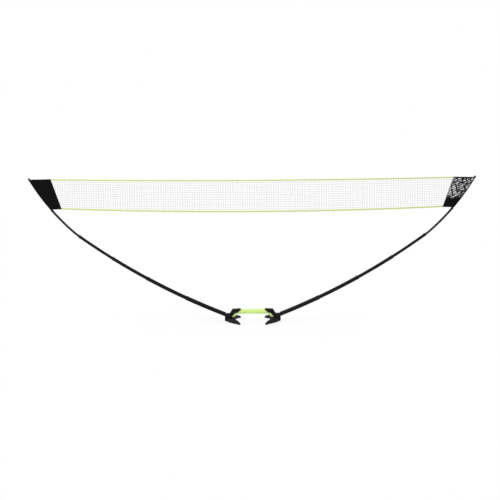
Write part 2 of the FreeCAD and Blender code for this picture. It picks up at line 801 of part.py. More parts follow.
def main():
    os.makedirs("parts", exist_ok=True)
    save(carry_handle(), "carry_handle")
    front, rear = hub_shells()
    save(front, "left_hub_front")
    save(rear, "left_hub_rear")
    save(mirrored(front), "right_hub_front")
    save(mirrored(rear), "right_hub_rear")
    save(hub_screws(), "hub_screws")
    pin = mast_pin()
    save(Part.makeCompound([pin, mirrored(pin)]), "mast_pins")
    save(foot_pins(), "foot_pins")
    for side, place in ((-1, "front"), (1, "rear")):
        blade = foot_blade(side)
        pads = foot_pads(side)
        save(blade, place + "_left_foot")
        save(pads, place + "_left_pads")
        save(mirrored(blade), place + "_right_foot")
        save(mirrored(pads), place + "_right_pads")
    for name, shape in left_mast_pieces().items():
        save(shape, "left_" + name)
        save(mirrored(shape), "right_" + name)
    save(net_mesh(), "net_mesh")
    save(top_tape(), "top_tape")
    save(bottom_tape(), "bottom_tape")
    print("tip", rod_curve.point(rod_6_end), "rod joint", rod_curve.point(rod_5_end))


main()
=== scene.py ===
# %% [markdown]
# # A free-standing badminton net
# This object is a portable net: a small folding base with a lime carrying handle, two long
# telescopic masts that bow outwards, and a narrow net stretched between their tips.
# Every rigid piece is already in the CAD frame, at its real size. So the lesson has two jobs.
# It gives those pieces their real finish, and it models what a CAD tool is poor at:
# the knotted netting, the sewn tapes, the cloth sleeves and the springy rods.

# %% Load the frame
import json
import math
import random

import bmesh
import bpy
from mathutils import Matrix, Vector, noise


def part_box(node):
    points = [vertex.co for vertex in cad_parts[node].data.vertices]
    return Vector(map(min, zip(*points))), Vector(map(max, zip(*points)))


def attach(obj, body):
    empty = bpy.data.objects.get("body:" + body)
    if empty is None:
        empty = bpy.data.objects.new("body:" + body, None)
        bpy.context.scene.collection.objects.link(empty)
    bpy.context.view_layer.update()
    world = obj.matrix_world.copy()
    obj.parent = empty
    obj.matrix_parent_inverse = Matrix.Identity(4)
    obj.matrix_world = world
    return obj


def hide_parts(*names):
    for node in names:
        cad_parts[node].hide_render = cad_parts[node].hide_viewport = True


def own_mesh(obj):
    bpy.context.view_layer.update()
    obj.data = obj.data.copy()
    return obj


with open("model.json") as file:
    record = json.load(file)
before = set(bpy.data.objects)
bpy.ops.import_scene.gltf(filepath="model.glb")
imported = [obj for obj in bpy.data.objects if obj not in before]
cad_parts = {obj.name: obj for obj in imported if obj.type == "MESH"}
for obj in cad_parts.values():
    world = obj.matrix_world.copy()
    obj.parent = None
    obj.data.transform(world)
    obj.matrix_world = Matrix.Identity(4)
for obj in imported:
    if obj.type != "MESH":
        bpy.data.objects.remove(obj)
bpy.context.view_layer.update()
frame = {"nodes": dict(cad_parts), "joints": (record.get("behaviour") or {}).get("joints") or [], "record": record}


def rounded(vector, digits=3):
    """A vector as a short tuple, to print."""
    return tuple(round(c, digits) for c in vector)


# %% [markdown]
# ## The line of the masts
# The five parts of a mast lie end to end on one smooth line: a shallow circle for the tubes,
# a short bend at the mouth of the last tube, and a tighter curve for the two springy rods.
# A curve object could draw that line, but three arcs say it exactly, and the same arcs later
# place the rods, the sleeves and the ends of the net, and steer the finish of the tubes.


# %% Arcs of the mast line
class Arc:
    """A stretch of the left mast's axis that climbs outwards in the plane Y = 0."""

    def __init__(self, start, slope, radius):
        self.slope = slope
        self.radius = radius
        self.centre = start + Vector((math.sin(slope), 0, math.cos(slope))) * radius

    def slope_at(self, length):
        return self.slope + length / self.radius

    def point(self, length):
        a = self.slope_at(length)
        return self.centre - Vector((math.sin(a), 0, math.cos(a))) * self.radius

    def along(self, length):
        a = self.slope_at(length)
        return Vector((-math.cos(a), 0, math.sin(a)))

    def then(self, length, radius):
        """The arc that goes on smoothly from a length of this one, with a radius of its own."""
        return Arc(self.point(length), self.slope_at(length), radius)


def joint_place(name):
    return Vector(next(j["pos_m"] for j in frame["joints"] if j["name"] == name))


MAST_SLOPE = math.radians(21.2)                # at the hub
MAST_BOW = 7.2                                 # radius of the tubes' circle
TUBE_4_MOUTH = 0.500 + 0.482 + 0.437 + 0.430   # what shows of the four tubes
ROD_LEAD = 0.010                               # on along the tubes' circle
ROD_BEND = math.radians(5.6)
ROD_BEND_LENGTH = 0.060
ROD_BOW = 2.4                                  # radius of the rods' circle
ROD_5_SHOWN = 0.410
ROD_6_SHOWN = 0.419
ROD_5_END = ROD_5_SHOWN - ROD_LEAD - ROD_BEND_LENGTH
ROD_6_END = ROD_5_END + ROD_6_SHOWN

mast_line = Arc(joint_place("left_mast_fold"), MAST_SLOPE, MAST_BOW)
bend_start = TUBE_4_MOUTH + ROD_LEAD
rod_bend = mast_line.then(bend_start, ROD_BEND_LENGTH / ROD_BEND)
rod_curve = rod_bend.then(ROD_BEND_LENGTH, ROD_BOW)
centre_off = (rod_curve.centre - joint_place("left_rod_6_slide")).length
print("mast tip at", rounded(rod_curve.point(ROD_6_END), 4),
      "and the frame's rod centre is", round(centre_off * 1000, 3), "mm off")

# %% [markdown]
# ## Writing finishes as sums
# A finish is a small network of shader nodes. Wiring each node by hand hides the idea of it,
# so a value on the surface is wrapped in a class whose operators add the Math nodes.
# Then a line such as `0.4 + 0.2 * grain` reads like the sum that it is.


# %% Values
class Value:
    """A number that varies over a surface. A sum on it adds Math nodes."""

    def __init__(self, network, socket):
        self.network = network
        self.socket = socket

    def sum(self, operation, other=0.0):
        return self.network.maths(operation, self, other)

    def beside(self, output):
        """Another output of the same node."""
        return Value(self.network, self.socket.node.outputs[output])

    def __add__(self, other):
        return self.sum("ADD", other)

    def __sub__(self, other):
        return self.sum("SUBTRACT", other)

    def __rsub__(self, other):
        return self.network.maths("SUBTRACT", other, self)

    def __mul__(self, other):
        return self.sum("MULTIPLY", other)

    def __pow__(self, other):
        return self.sum("POWER", other)

    __radd__ = __add__
    __rmul__ = __mul__


# %% [markdown]
# The nodes themselves come from one method, which takes their settings and what goes into
# their sockets. Short methods over it name the few textures and steps that the finishes share.
# The world needs such a network too, but only a material has a shader with a colour, a
# roughness and a relief to set.


# %% Networks and finishes
class Network:
    """A tree of shader nodes, and the ways to add to it."""

    def __init__(self, tree):
        self.tree = tree

    def node(self, kind, settings, inputs, out=0):
        """Add a node: its settings first, then the numbers or links of its sockets."""
        made = self.tree.nodes.new(kind)
        for name, setting in settings.items():
            setattr(made, name, setting)
        for socket, given in inputs.items():
            if isinstance(given, Value):
                self.tree.links.new(given.socket, made.inputs[socket])
            else:
                made.inputs[socket].default_value = given
        return Value(self, made.outputs[out])

    def maths(self, operation, first, second=0.0):
        return self.node("ShaderNodeMath", {"operation": operation}, {0: first, 1: second})

    def place(self):
        return self.node("ShaderNodeTexCoord", {}, {}, out="Object")

    def cloth_place(self):
        return self.node("ShaderNodeUVMap", {"uv_map": "cloth"}, {})

    def parts(self, vector):
        x = self.node("ShaderNodeSeparateXYZ", {}, {0: vector})
        return x, x.beside(1), x.beside(2)

    def join(self, x, y, z=0.0):
        return self.node("ShaderNodeCombineXYZ", {}, {0: x, 1: y, 2: z})

    def speckle(self, where, scale, detail=2.0):
        inputs = {"Vector": where, "Scale": scale, "Detail": detail}
        return self.node("ShaderNodeTexNoise", {}, inputs)

    def between(self, value, low, high):
        """0 below low, 1 above high, and a smooth step between them."""
        return self.node("ShaderNodeMapRange", {"interpolation_type": "SMOOTHSTEP"},
                         {"Value": value, "From Min": low, "From Max": high})

    def wave(self, value, pitch):
        """From 0 to 1 and back over each pitch."""
        turn = value * (2 * math.pi / pitch)
        return turn.sum("SINE") * 0.5 + 0.5

    def mix(self, share, first, second):
        inputs = {0: share, 6: first, 7: second}
        return self.node("ShaderNodeMix", {"data_type": "RGBA"}, inputs, out=2)


class Finish(Network):
    """A material. Constants go straight on its shader's sockets, and values are linked to them."""

    def __init__(self, name, constants):
        self.material = bpy.data.materials.new(name)
        self.material.use_nodes = True
        super().__init__(self.material.node_tree)
        self.shader = self.tree.nodes["Principled BSDF"]
        for socket, number in constants.items():
            self.shader.inputs[socket].default_value = number

    def set(self, socket, value):
        self.tree.links.new(value.socket, self.shader.inputs[socket])

    def emboss(self, height, distance):
        bump = self.node("ShaderNodeBump", {}, {"Distance": distance, "Height": height})
        self.set("Normal", bump)


# %% Colours
def linear(code):
    """A colour written as in a picture, such as 'c8dc78', in the linear light that nodes use."""
    shares = [int(code[i:i + 2], 16) / 255 for i in (0, 2, 4)]
    light = [((s + 0.055) / 1.055) ** 2.4 if s > 0.04045 else s / 12.92 for s in shares]
    return (*light, 1.0)


print("a mid grey written as 808080 is", round(linear("808080")[0], 3), "in linear light")

# %% [markdown]
# ## Lime handle
# The handle is a satin injection-moulded tube in a light lime. Its colour is even, with a faint
# cloudiness from the moulding, a fine grain that takes the edge off its highlights, and a
# slight polish where hands have rubbed it. One broad noise does the cloud and the polish.

# %% Lime satin plastic
lime_plastic = Finish("lime satin plastic", {"Roughness": 0.45, "Specular IOR Level": 0.35})
place = lime_plastic.place()
cloud = lime_plastic.speckle(place, 28, 3)
grain = lime_plastic.speckle(place, 1300)
lime_plastic.set("Base Color", lime_plastic.mix(cloud, linear("cdec86"), linear("d8f492")))
lime_plastic.set("Roughness", 0.36 + 0.16 * cloud)
lime_plastic.emboss(grain, 0.00006)
print(lime_plastic.material.name, "has", len(lime_plastic.tree.nodes), "nodes")

# %% [markdown]
# ## Black mouldings
# The hubs and the feet are glass-filled nylon from a spark-eroded mould. Such a surface is not
# one black: it has a tight, sandy grain, flow marks a few centimetres long, and dull dust in
# the grain. Two noises of very different size are enough for that.


# %% Black plastics and rubber
def black_finish(name, dark, pale, rough, grain_size, depth, shine):
    """A near-black finish with a grain of the given size and broad, faint marks."""
    made = Finish(name, {"Specular IOR Level": shine})
    place = made.place()
    grain = made.speckle(place, 1 / grain_size, 3)
    marks = made.speckle(place, 24, 4)
    dust = made.between(grain * marks, 0.26, 0.46)
    made.set("Base Color", made.mix(dust, linear(dark), linear(pale)))
    made.set("Roughness", rough - 0.08 + 0.16 * marks)
    made.emboss(grain, depth)
    return made


moulding = black_finish("black moulded nylon", "121213", "232324", 0.5, 0.0011, 0.00012, 0.1)
fitting = black_finish("black smooth plastic", "171718", "232324", 0.42, 0.0008, 0.00006, 0.12)
rubber = black_finish("black rubber", "121212", "1e1e1e", 0.85, 0.0016, 0.0002, 0.06)
print("black finishes:", moulding.material.name, fitting.material.name, rubber.material.name)

# %% [markdown]
# ## Pins and screws
# The pins and screws are blackened steel. Bare metal shows through only as a faint, fine
# scratching, so a stretched noise lightens the black and changes its gloss.

# %% Blackened steel
steel = Finish("blackened steel", {"Metallic": 1.0})
stretched = {"Vector": steel.place(), "Scale": (300, 2500, 900)}
scratches = steel.speckle(steel.node("ShaderNodeMapping", {}, stretched), 1, 3)
worn = steel.between(scratches, 0.52, 0.72)
steel.set("Base Color", steel.mix(worn, linear("2e2e30"), linear("58585c")))
steel.set("Roughness", 0.46 - 0.16 * worn)
steel.emboss(scratches, 0.00003)
print(steel.material.name, "has", len(steel.tree.nodes), "nodes")

# %% [markdown]
# ## Mast tubes and rods
# The tubes slide in each other, so their black coat carries fine marks that run lengthwise.
# Object coordinates alone would draw those marks straight, across the bow of the mast.
# The distance along the arc and the distance round the tube are worked out from the arc's
# centre instead. The right mast mirrors the left, so the sum starts from minus the size of X.


# %% Finishes that follow the mast
def mast_place(made, arc, radius):
    """Metres along the arc and metres round the tube, as two values."""
    x, y, z = made.parts(made.place())
    out = arc.centre.x + x.sum("ABSOLUTE")
    up = arc.centre.z - z
    along = out.sum("ARCTAN2", up) * arc.radius
    above = arc.radius - (out * out + up * up) ** 0.5
    return along, y.sum("ARCTAN2", above) * radius


def mast_finish(name, arc, radius, colours, rough, shine, coat):
    """A dark coat with lengthwise marks along an arc of the mast."""
    made = Finish(name, {"Specular IOR Level": shine, "Coat Weight": coat, "Coat Roughness": 0.3})
    along, around = mast_place(made, arc, radius)
    marks = made.speckle(made.join(along * 7, around * 900), 1, 3)
    worn = made.between(marks, 0.55, 0.8)
    peel = made.speckle(made.place(), 900)
    made.set("Base Color", made.mix(worn, linear(colours[0]), linear(colours[1])))
    made.set("Roughness", rough + 0.12 * marks)
    made.emboss(peel * 0.5 + marks * 0.5, 0.00005)
    return made


tube_colours, rod_colours = ("0d0d0e", "1f1f20"), ("0d0d0f", "1f1f23")
tube_coat = mast_finish("black tube coat", mast_line, 0.022, tube_colours, 0.36, 0.1, 0.0)
rod_coat = mast_finish("black fibre rod", rod_curve, 0.010, rod_colours, 0.3, 0.1, 0.1)
print("tube marks turn about", rounded(mast_line.centre))

# %% [markdown]
# ## Finish the CAD pieces
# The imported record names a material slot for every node. That gives a short table from slot to
# finish, and each CAD mesh keeps its own shape and place.

# %% Dress the rigid nodes
slot_finish = {
    "lime_handle": lime_plastic, "black_moulding": moulding, "dark_steel": steel,
    "pad_rubber": rubber, "mast_tube": tube_coat, "mast_fitting": fitting,
}
node_slot = {part["node"]: part["material_slot"] for part in frame["record"]["subparts"]}
dressed = [name for name, slot in node_slot.items() if slot in slot_finish]
for name in dressed:
    materials = frame["nodes"][name].data.materials
    materials.clear()
    materials.append(slot_finish[node_slot[name]].material)
print("dressed", len(dressed), "of", len(node_slot), "nodes")

# %% [markdown]
# ## From a bmesh to a piece
# New pieces are drawn for the left side or the middle. A right-hand piece is the same mesh
# mirrored in the plane X = 0. Mirroring turns a mesh inside out, so its normals are worked out
# again, after doubled vertices are merged.


# %% Piece helpers
def mesh_from(bm, name):
    mesh = bpy.data.meshes.new(name)
    bm.to_mesh(mesh)
    bm.free()
    return mesh


def add_object(name, data):
    """Put an object with the given mesh, curve, light or camera in the scene."""
    made = bpy.data.objects.new(name, data)
    bpy.context.scene.collection.objects.link(made)
    return made


def final_mesh(made):
    """The mesh of an object with its bevel or its modifiers worked out."""
    evaluated = made.evaluated_get(bpy.context.evaluated_depsgraph_get())
    return bpy.data.meshes.new_from_object(evaluated)


def make_piece(bm, name, finish, body):
    """Turn a bmesh into a finished, smooth piece that rides on a body."""
    mesh = mesh_from(bm, name)
    mesh.materials.append(finish.material)
    for face in mesh.polygons:
        face.use_smooth = True
    piece = add_object(name, mesh)
    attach(piece, body)
    return piece


def turned_to(bm, side):
    """Mirror a left-hand bmesh for the right side, and turn its faces outwards."""
    bmesh.ops.remove_doubles(bm, verts=bm.verts, dist=0.000001)
    if side == "right":
        bmesh.ops.scale(bm, vec=(-1, 1, 1), verts=bm.verts)
    bmesh.ops.recalc_face_normals(bm, faces=bm.faces)
    return bm


def mirrored(vector, side):
    return Vector((-vector.x, vector.y, vector.z)) if side == "right" else vector


def count_triangles(piece):
    return sum(len(face.vertices) - 2 for face in piece.data.polygons)


# %% [markdown]
# ## Springy rods
# Parts 5 and 6 of a mast are thin rods that bend under the pull of the net. A ring of two
# circles is spun about the centre of each arc in turn, which keeps the section round and the
# wall even. When the mast is put away the real rods straighten inside the tubes. The last
# 60 mm of each rod, which still shows then, is a piece of its own. The edges of the flat ends
# are sharp, so the two pieces shade as one.


# %% Rings spun along arcs
ROD_SIDES = 20


def ring(bm, outer, inner, arc, length):
    """A flat ring square to an arc."""
    loops = []
    turn = arc.along(length).to_track_quat("Z", "Y").to_matrix().to_4x4()
    at = Matrix.Translation(arc.point(length)) @ turn
    for radius in (outer, inner):
        made = bmesh.ops.create_circle(bm, segments=ROD_SIDES, radius=radius, matrix=at)
        circle = made["verts"]
        loops += [bm.edges.get(pair) for pair in zip(circle, circle[1:] + circle[:1])]
    return bmesh.ops.bridge_loops(bm, edges=loops)["faces"]


def spin(bm, faces, arc, begin, end, steps):
    """Spin faces from one length of an arc to another, and return the faces at the end."""
    turn = (end - begin) / arc.radius
    spun = bmesh.ops.spin(bm, geom=faces, cent=arc.centre, axis=(0, 1, 0),
                          angle=turn, steps=steps)
    return [part for part in spun["geom_last"] if isinstance(part, bmesh.types.BMFace)]


def rod_mesh(outer, wall, stretches):
    """A tube along stretches of arcs, closed and sharp-edged at its two ends."""
    bm = bmesh.new()
    arc, begin, _, _ = stretches[0]
    first = faces = ring(bm, outer, outer - wall, arc, begin)
    for arc, begin, end, steps in stretches:
        joint = faces
        faces = spin(bm, joint, arc, begin, end, steps)
        if joint is not first:
            bmesh.ops.delete(bm, geom=joint, context="FACES")
    for face in first + faces:
        for edge in face.edges:
            edge.smooth = False

    # Spin leaves its faces in an order that changes from run to run.
    ordered = sorted(bm.faces, key=lambda face: rounded(face.calc_center_median(), 6))
    for index, face in enumerate(ordered):
        face.index = index
    bm.faces.sort()
    return bm


# %% Stretches of the rods
ROUND_END = 0.060      # what stays round when the mast is put away
LINE_BACK = 0.075      # back from the rod's end, where the rod's way is read
ROD_5_HIDDEN = 0.055   # inside tube 4
ROD_6_HIDDEN = 0.050   # inside rod 5

# Each stretch is an arc, its begin, its end and a number of steps.
ROD_5_STRETCHES = [
    (mast_line, TUBE_4_MOUTH - ROD_5_HIDDEN, bend_start, 4),
    (rod_bend, 0, ROD_BEND_LENGTH, 6),
    (rod_curve, 0, ROD_5_END - ROUND_END, 18),
]
ROD_6_STRETCHES = [(rod_curve, ROD_5_END - ROD_6_HIDDEN, ROD_6_END - ROUND_END, 24)]

# Each rod is its number, outer radius, wall, stretches and outer end.
RODS = [
    (5, 0.012, 0.0015, ROD_5_STRETCHES, ROD_5_END),
    (6, 0.0085, 0.002, ROD_6_STRETCHES, ROD_6_END),
]
print("rod 5 is", round(ROD_5_HIDDEN + ROD_5_SHOWN, 3), "m long and rod 6",
      round(ROD_6_HIDDEN + ROD_6_SHOWN, 3))

# %% Rods 5 and 6
for side in ("left", "right"):
    for number, outer, wall, stretches, end in RODS:
        body = f"{side}_mast_{number}"
        bm = turned_to(rod_mesh(outer, wall, stretches), side)
        rod = make_piece(bm, f"{side}_springy_rod_{number}", rod_coat, body)
        last_stretch = [(rod_curve, end - ROUND_END, end, 4)]
        bm = turned_to(rod_mesh(outer, wall, last_stretch), side)
        make_piece(bm, f"{side}_springy_rod_{number}_end", rod_coat, body)
        line = rod_curve.along(end - LINE_BACK)
        mirrored(rod_curve.point(end), side)
        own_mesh(rod)
        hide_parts(f"{side}_mast_rod_{number}")
        low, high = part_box(f"{side}_mast_rod_{number}")
        print(rod.name, count_triangles(rod), "triangles, CAD rod from",
              rounded(low), "to", rounded(high))

# %% [markdown]
# ## Where the net hangs
# The sleeves hang on rod 6 and the net hangs between them. Both long edges of the net sag a
# little, as an arc. The ends slant, because the sleeves follow the slanting masts. These few
# values place the tapes, the netting and the sleeves alike. With the masts put away, the real
# sleeves' top corners stand 132 mm from the middle, and the net gathers between them.

# %% Edges of the net
POCKET_BEGIN = ROD_5_END + 0.010             # where the sleeve covers rod 6
POCKET_END = ROD_6_END - 0.0095
POCKET_LENGTH = POCKET_END - POCKET_BEGIN
SLEEVE_TOP, SLEEVE_BOTTOM = 0.2233, 0.107    # from the rod's axis to the net
TOP_RISE, BOTTOM_RISE = 0.004, 0.0025        # of the net's corners over the rod's points
TOP_SAG, BOTTOM_SAG = 0.020, 0.043
TAPE_HEIGHT = 0.014
pocket_bottom = rod_curve.point(POCKET_BEGIN)
pocket_top = rod_curve.point(POCKET_END)
net_top_end = Vector((-pocket_top.x - SLEEVE_TOP, 0, pocket_top.z + TOP_RISE))
net_bottom_end = Vector((-pocket_bottom.x - SLEEVE_BOTTOM, 0, pocket_bottom.z + BOTTOM_RISE))


def sagged(end, sag, x):
    """Height at X of an arc through the net's two ends that sags at the middle."""
    radius = (end.x ** 2 + sag ** 2) / (2 * sag)
    return end.z - sag + radius - math.sqrt(radius ** 2 - x ** 2)


def top_line(x):
    return sagged(net_top_end, TOP_SAG, x)


def bottom_line(x):
    return sagged(net_bottom_end, BOTTOM_SAG, x)


def end_line(z):
    """Distance from the middle to the net's slanting end, at a height."""
    share = (z - net_bottom_end.z) / (net_top_end.z - net_bottom_end.z)
    return net_bottom_end.x + (net_top_end.x - net_bottom_end.x) * share


print("net", round(2 * net_top_end.x, 3), "m long at the top and",
      round(top_line(0) - bottom_line(0), 3), "m high at the middle")

# %% [markdown]
# ## Netting twine
# The netting is black twine of 1.2 mm in square meshes of 26 mm. It reads as pale grey from
# afar, because the twine covers only a tenth of the area. An image with holes would lose its
# twine from near by, so each twine is a thin spline with a round bevel, drawn through knots
# that stand a fraction of a millimetre off their places, as in tied netting.

# %% Netting
MESH = 0.026
ROWS = 13
HALF_COLUMNS = int(net_top_end.x / MESH)
COLUMNS = range(-HALF_COLUMNS, HALF_COLUMNS + 1)
TWINE_RADIUS = 0.0006
KNOT_SLIP = 0.0007
TWINE_SLACK = 0.0004
INSET = 0.006   # of the outer rows, in the tapes
SEAM = 0.007    # of the rows' ends, in the sleeves
random.seed(41)


def mesh_height(x, share):
    """Height of the netting at X, for a share from 0 at the lower row to 1 at the upper."""
    low = bottom_line(x) + INSET
    return low + (top_line(x) - INSET - low) * share


knots = {}
for column in COLUMNS:
    for row in range(ROWS + 1):
        x = column * MESH
        z = mesh_height(x, row / ROWS)
        if abs(x) < end_line(z):
            slip = [random.uniform(-KNOT_SLIP, KNOT_SLIP) for _ in range(3)]
            knots[column, row] = Vector((x + slip[0], slip[1] * 0.5, z + slip[2]))


def add_twine(curve, points):
    """A spline through knots, with a slightly slack point between each two."""
    full = [points[0]]
    for here, there in zip(points, points[1:]):
        slack = Vector([random.uniform(-TWINE_SLACK, TWINE_SLACK) for _ in range(3)])
        full += [(here + there) / 2 + slack, there]
    spline = curve.splines.new("POLY")
    spline.points.add(len(full) - 1)
    for point, co in zip(spline.points, full):
        point.co = (*co, 1)


def end_of_row(share, side):
    """Where a row of the netting goes into the end seam."""
    x = net_bottom_end.x
    for _ in range(4):    # each turn comes nearer to where the row meets the slanting end
        x = end_line(mesh_height(x, share))
    x += SEAM
    return Vector((side * x, 0, mesh_height(x, share)))


def end_of_column(x):
    """Where a column that misses the lower edge goes into the end seam."""
    share = (abs(x) - net_bottom_end.x - SEAM) / (net_top_end.x - net_bottom_end.x)
    return Vector((x, 0, net_bottom_end.z + (net_top_end.z - net_bottom_end.z) * share))


print(len(knots), "knots stand in", ROWS + 1, "rows and", len(COLUMNS), "columns")

# %% Twine from knot to knot
twine = bpy.data.curves.new("netting", "CURVE")
twine.dimensions = "3D"
twine.bevel_depth = TWINE_RADIUS
twine.bevel_resolution = 1
twine.use_fill_caps = True
for row in range(ROWS + 1):
    across = [knots[column, row] for column in COLUMNS if (column, row) in knots]
    add_twine(twine, [end_of_row(row / ROWS, -1)] + across + [end_of_row(row / ROWS, 1)])
for column in COLUMNS:
    upwards = [knots[column, row] for row in range(ROWS + 1) if (column, row) in knots]
    if abs(column * MESH) > net_bottom_end.x:
        upwards = [end_of_column(column * MESH)] + upwards
    if len(upwards) > 1:
        add_twine(twine, upwards)
drawn = add_object("netting_curve", twine)
twine_mesh = final_mesh(drawn)
bpy.data.objects.remove(drawn)
print("twine:", len(twine.splines), "splines and", len(twine_mesh.polygons), "faces")

# %% [markdown]
# A knot is a tight lump where two twines cross. A ball of twenty faces is enough, flattened and
# turned at random. Adding thousands of balls to one bmesh with an operator each would be slow,
# so one small mesh is made and copied in place. The first and last rows lie flat inside the
# tapes, where a knot would poke through the cloth, so they have none.


# %% Copies of a small mesh
def grain_mesh(name, size):
    """A small ball drawn out to a size, such as a knot or a stitch."""
    bm = bmesh.new()
    bmesh.ops.create_icosphere(bm, subdivisions=1, radius=0.5)
    bmesh.ops.scale(bm, vec=size, verts=bm.verts)
    return mesh_from(bm, name)


def add_copy(bm, mesh, matrix):
    """Add a moved copy of a small mesh to a bmesh."""
    copy = mesh.copy()
    copy.transform(matrix)
    bm.from_mesh(copy)
    bpy.data.meshes.remove(copy)


# %% Knots and the finished netting
KNOT_SIZE = (0.0030, 0.0025, 0.0025)

bm = bmesh.new()
bm.from_mesh(twine_mesh)
knot = grain_mesh("knot", KNOT_SIZE)
for (column, row), knot_place in knots.items():
    angle = random.uniform(0, math.pi)
    tilt = Matrix.Rotation(angle, 4, Vector((random.random(), 1, random.random())))
    if 0 < row < ROWS:
        add_copy(bm, knot, Matrix.Translation(knot_place) @ tilt)

net_twine = Finish("black net twine", {"Specular IOR Level": 0.2})
x, y, z = net_twine.parts(net_twine.place())
lay = net_twine.wave(x + z + 0.6 * y, 0.0016)
fluff = net_twine.speckle(net_twine.place(), 1500)
net_twine.set("Base Color", net_twine.mix(lay, linear("191919"), linear("303030")))
net_twine.set("Roughness", 0.62 + 0.2 * fluff)
net_twine.emboss(lay * 0.7 + fluff * 0.3, 0.0002)

netting = make_piece(bm, "netting", net_twine, "net")
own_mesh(netting)
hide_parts("net_mesh")
print("netting:", count_triangles(netting), "triangles")

# %% [markdown]
# ## Lime tapes
# A woven tape is folded over each long edge of the netting and sewn through. The tape is a
# grid laid in a U over the edge. The grid is then given the thickness of the cloth with
# Solidify, which closes its rim. Its thread is a row of small drawn-out balls on each face.


# %% Cloth from a grid
def cloth_grid(columns, rows, point_at, uv_at):
    """A grid of points from 0 to 1 both ways. One function lays them, and one gives their UVs."""
    bm = bmesh.new()
    bmesh.ops.create_grid(bm, x_segments=columns, y_segments=rows, size=0.5)
    layer = bm.loops.layers.uv.new("cloth")
    at = {vert: (vert.co.x + 0.5, vert.co.y + 0.5) for vert in bm.verts}
    for face in bm.faces:
        for loop in face.loops:
            loop[layer].uv = uv_at(*at[loop.vert])
    for vert, (across, up) in at.items():
        vert.co = point_at(across, up)
    return bm


def thicken(piece, thickness):
    """Give cloth its thickness inwards, and keep the result as the piece's own mesh."""
    modifier = piece.modifiers.new("cloth thickness", "SOLIDIFY")
    modifier.thickness = thickness
    modifier.offset = -1
    modifier.use_even_offset = True
    solid = final_mesh(piece)
    piece.modifiers.clear()
    piece.data = solid


def add_stitches(bm, stitch, path, out, count):
    """Stitches along a path from 0 to 1, each as long as 0.7 of its pitch, on the side of out."""
    for i in range(count):
        here = path((i + 0.15) / count)
        there = path((i + 0.85) / count)
        along = (there - here).normalized()
        aside = out.cross(along).normalized()
        turn = Matrix((along, aside, along.cross(aside))).transposed().to_4x4()
        add_copy(bm, stitch, Matrix.Translation((here + there) / 2) @ turn)


# %% Tape over an edge
TAPE_CLOTH = 0.0006
TAPE_HALF = 0.0012
TAPE_FOLD = 0.12                       # the fold's share of the way from edge to hem
TAPE_WIDTH = 2 * TAPE_HEIGHT + 0.002   # laid flat
TAPE_STITCH = (0.0029, 0.0007, 0.0006)
TAPE_STITCH_PITCH = 0.0042
TAPE_THREAD_IN = 0.0022                # from the tape's hem


def tape_point(line, inwards, end, across, up):
    """A point of a tape: up runs from the front leg's hem over the fold to the back leg's."""
    q = 2 * up - 1
    leg = max(0.0, (abs(q) - TAPE_FOLD) / (1 - TAPE_FOLD))
    turn = min(1.0, abs(q) / TAPE_FOLD) * math.pi / 2
    x = (2 * across - 1) * end
    z_edge = line(x)
    ripple = noise.noise(Vector((x * 38, 0, z_edge * 5))) * 0.0005 * leg
    depth = TAPE_HALF * (1 - math.cos(turn)) + leg * (TAPE_HEIGHT - TAPE_HALF)
    side = math.copysign(1, q)
    y = side * (TAPE_HALF * math.sin(turn) + ripple)
    return Vector((x, y, z_edge + inwards * (depth + ripple)))


def make_tape(name, line, inwards, node_name):
    """A folded tape with its two rows of thread."""
    end = end_line(line(net_top_end.x if inwards < 0 else net_bottom_end.x))
    bm = cloth_grid(280, 14, lambda a, u: tape_point(line, inwards, end, a, u),
                    lambda a, u: (2 * end * a, TAPE_WIDTH * u))
    bmesh.ops.recalc_face_normals(bm, faces=bm.faces)
    tape = make_piece(bm, name, tape_cloth, "net")
    thicken(tape, TAPE_CLOTH)
    bm = bmesh.new()
    stitch = grain_mesh("tape_stitch", TAPE_STITCH)
    count = int(2 * end / TAPE_STITCH_PITCH)
    for face in (-1, 1):
        def run(share):
            x = (2 * share - 1) * end
            z = line(x) + inwards * (TAPE_HEIGHT - TAPE_THREAD_IN)
            return Vector((x, face * (TAPE_HALF + 0.0001), z))
        add_stitches(bm, stitch, run, Vector((0, face, 0)), count)
    thread = make_piece(bm, name + "_thread", lime_thread, "net")
    for piece in (tape, thread):
        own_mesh(piece)
    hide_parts(node_name)
    round(2 * end, 3)
    print(name, count_triangles(tape), "triangles and", count_triangles(thread), "of thread")


# %% [markdown]
# ## Woven lime
# The tape is a light lime webbing with ribs across it, a little over a millimetre apart, and a
# raised selvage. Its UVs are in metres, so the pitch of the weave is written as it is measured.

# %% Tape and thread finishes
tape_cloth = Finish("lime woven tape", {
    "Roughness": 0.8, "Specular IOR Level": 0.2, "Sheen Weight": 0.2})
u, v, _ = tape_cloth.parts(tape_cloth.cloth_place())
ribs = tape_cloth.wave(u, 0.0012)
yarn = tape_cloth.wave(v, 0.0007)
weave = ribs * 0.65 + yarn * 0.35
fade = tape_cloth.speckle(tape_cloth.place(), 18, 3)
shade = weave * 0.6 + fade * 0.4
tape_cloth.set("Base Color", tape_cloth.mix(shade, linear("b6ca64"), linear("d2de92")))
tape_cloth.emboss(weave, 0.00025)

lime_thread = Finish("lime thread", {"Roughness": 0.6, "Specular IOR Level": 0.3})
twist = lime_thread.speckle(lime_thread.place(), 1600)
lime_thread.set("Base Color", lime_thread.mix(twist, linear("c8de70"), linear("e4f4a2")))
lime_thread.emboss(twist, 0.0001)

make_tape("top_tape_band", top_line, -1, "top_tape")
make_tape("bottom_tape_band", bottom_line, 1, "bottom_tape")

